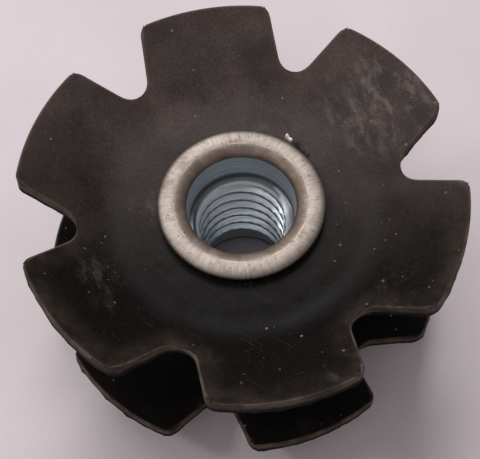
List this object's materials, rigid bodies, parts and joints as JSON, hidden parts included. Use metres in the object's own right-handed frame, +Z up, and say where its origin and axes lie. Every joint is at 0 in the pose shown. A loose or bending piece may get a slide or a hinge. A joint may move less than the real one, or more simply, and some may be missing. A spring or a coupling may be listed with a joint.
{
  "type": "star nut",
  "caption": "Threadless headset star nut: cupped six-petal steel stars clamped on a threaded sleeve, driven into a steerer tube.",
  "frame": {"origin": "on the thread axis, in the flat foot of the lower rolled flange", "axes": "+Z up the thread axis, towards the side the bolt enters from; +X through the middle of one petal of the upper star"},
  "size_m": [0.0244, 0.0242, 0.0137],
  "materials": {
    "black_steel": "black oxide spring steel, semi-matt, with brownish wear on the edges",
    "zinc_steel": "bright zinc plate over turned steel"
  },
  "bodies": {
    "root": {"upper_star": "black_steel", "lower_star": "black_steel", "threaded_sleeve": "zinc_steel"}
  },
  "joints": []
}
